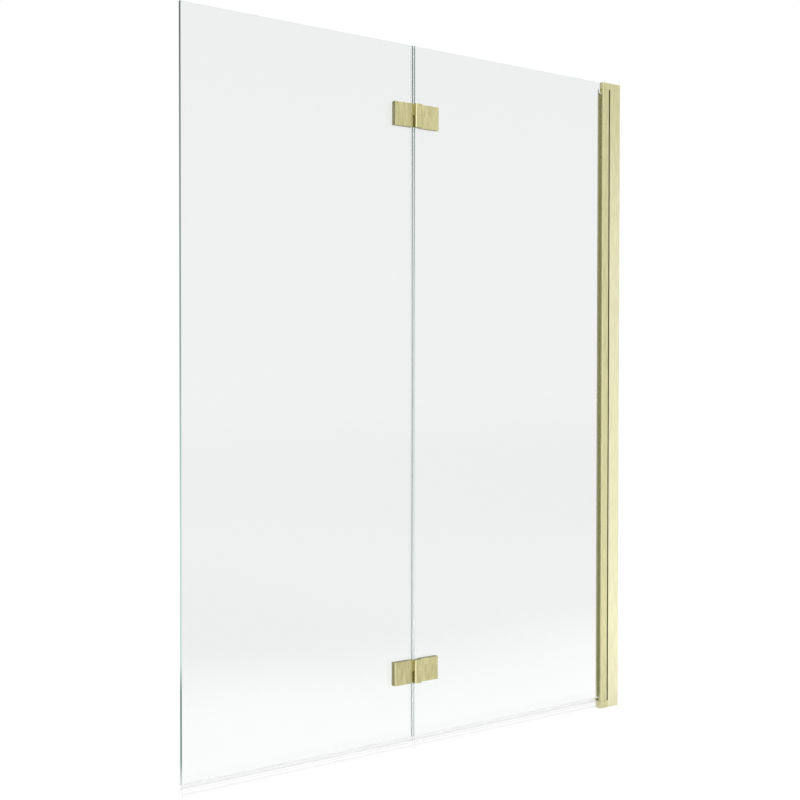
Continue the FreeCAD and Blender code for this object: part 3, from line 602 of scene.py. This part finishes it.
def blend_values(tree, factor, first, second):
    """Value between two values."""
    return put(tree, "ShaderNodeMix", {0: factor, 2: first, 3: second}).outputs[0]


def seen_floor(tree, path, place):
    """How bright the floor looks by itself and, with a dimmer stretch behind the screen, through glass."""
    depth = put(tree, "ShaderNodeSeparateXYZ", {0: place}).outputs["Y"]
    distance = math_node(tree, "ABSOLUTE", depth)
    through_glass = math_node(tree, "ADD", span(tree, distance, 0.0, 1.1, 1.05, 0.895),
                              span(tree, distance, 6.0, 22.0, 0.0, 0.027))
    return blend_values(tree, path.outputs["Is Camera Ray"], through_glass, 1.04)


def mirrored_floor(tree, place):
    """How bright the floor looks in the metal: lit in front and at the right, far off as the world is."""
    axes = put(tree, "ShaderNodeSeparateXYZ", {0: place})
    # Painted pool of light on the floor, seen only in the metal.
    from_pool = put(tree, "ShaderNodeVectorMath", {0: place, 1: LIGHT_POOL_PLACE}, operation="DISTANCE")
    light_pool = span(tree, from_pool.outputs["Value"], 0.1, 0.55, 0.45, 0.0)
    right_side = span(tree, axes.outputs["X"], 0.0, 0.6, 0.0, 0.17)
    front = span(tree, axes.outputs["Y"], -0.1, 0.3, 1.07, 0.5)
    near = math_node(tree, "ADD", front, math_node(tree, "ADD", light_pool, right_side))
    offset = put(tree, "ShaderNodeVectorMath", {0: place, 1: SCREEN_MIDDLE}, operation="SUBTRACT").outputs[0]
    away = put(tree, "ShaderNodeVectorMath", {0: offset}, operation="LENGTH").outputs["Value"]
    direction = put(tree, "ShaderNodeVectorMath", {0: offset}, operation="NORMALIZE").outputs[0]
    far_share = span(tree, away, 1.2, 5.0, 0.0, 1.0)
    return blend_values(tree, far_share, near, mirrored_level(tree, direction))


def studio_floor():
    """White floor that takes soft shadows, a hair below the screen."""
    mesh = bpy.data.meshes.new("floor")
    reach = FLOOR_REACH
    mesh.from_pydata([(-reach, -reach, 0), (reach, -reach, 0), (reach, reach, 0), (-reach, reach, 0)],
                     [], [(0, 1, 2, 3)])
    floor = bpy.data.objects.new("floor", mesh)
    floor.location.z = -FLOOR_DROP
    bpy.context.scene.collection.objects.link(floor)
    material, tree = empty_material("white_floor")
    path = put(tree, "ShaderNodeLightPath")
    place = put(tree, "ShaderNodeTexCoord").outputs["Object"]
    sight = straight_sight(tree, path)
    strength = blend_values(tree, sight, mirrored_floor(tree, place), seen_floor(tree, path, place))
    glow = put(tree, "ShaderNodeEmission", {"Color": WHITE, "Strength": strength})
    paint = put(tree, "ShaderNodeBsdfDiffuse", {"Color": FLOOR_PAINT})
    looked_at = math_node(tree, "MAXIMUM", sight, path.outputs["Is Glossy Ray"])
    share = math_node(tree, "MULTIPLY", looked_at, FLOOR_GLOW_SHARE)
    both = put(tree, "ShaderNodeMixShader", {0: share, 1: paint.outputs[0], 2: glow.outputs[0]})
    surface(tree, both.outputs[0])
    mesh.materials.append(material)


def studio_world():
    """White surroundings, brighter in front of the screen than beside it for what the metal mirrors."""
    world = bpy.data.worlds.new("studio")
    bpy.context.scene.world = world
    world.use_nodes = True
    tree = world.node_tree
    tree.nodes.clear()
    path = put(tree, "ShaderNodeLightPath")
    direction = put(tree, "ShaderNodeTexCoord").outputs["Generated"]
    height = put(tree, "ShaderNodeSeparateXYZ", {0: direction}).outputs["Z"]
    high = span(tree, height, -0.05, 0.28, 1.0, 0.89)
    mirrored = math_node(tree, "MULTIPLY", mirrored_level(tree, direction), high)
    lit = blend_values(tree, path.outputs["Is Glossy Ray"], 0.9, mirrored)
    through_glass = span(tree, height, 0.10, 0.25, 0.90, 0.889)
    seen = blend_values(tree, path.outputs["Is Camera Ray"], through_glass, 1.0)
    strength = blend_values(tree, straight_sight(tree, path), lit, seen)
    glow = put(tree, "ShaderNodeBackground", {"Color": WHITE, "Strength": strength})
    put(tree, "ShaderNodeOutputWorld", {"Surface": glow.outputs[0]})


def softbox(name, place, aim, size, power):
    """Square lamp aimed at a point."""
    lamp = bpy.data.lights.new(name, "AREA")
    lamp.shape = "SQUARE"
    lamp.size = size
    lamp.energy = power
    box = bpy.data.objects.new(name, lamp)
    box.location = place
    box.rotation_mode = "QUATERNION"
    box.rotation_quaternion = (Vector(aim) - Vector(place)).to_track_quat("-Z", "Y")
    bpy.context.scene.collection.objects.link(box)


def photo_camera():
    """Camera at the photograph's place and angle."""
    yaw, pitch, roll = (math.radians(angle) for angle in CAMERA_ANGLES)
    ahead = Vector((math.sin(yaw) * math.cos(pitch), math.cos(yaw) * math.cos(pitch), -math.sin(pitch)))
    level = Vector((math.cos(yaw), -math.sin(yaw), 0.0))
    above = level.cross(ahead)
    right = level * math.cos(roll) + above * math.sin(roll)
    up = above * math.cos(roll) - level * math.sin(roll)
    data = bpy.data.cameras.new("camera")
    data.sensor_width = 36.0
    data.lens = CAMERA_LENS
    data.clip_start = 0.01
    data.clip_end = 100.0
    camera = bpy.data.objects.new("camera", data)
    turn = Matrix((right, up, -ahead)).transposed()
    camera.matrix_world = Matrix.Translation(CAMERA_PLACE) @ turn.to_4x4()
    bpy.context.scene.collection.objects.link(camera)
    bpy.context.scene.camera = camera


studio_floor()
studio_world()
softbox("key_softbox", place=(0.4, -1.6, 3.4), aim=(-0.5, 0.0, 0.7), size=1.6, power=25.0)
photo_camera()
bpy.context.scene.view_settings.view_transform = "Standard"
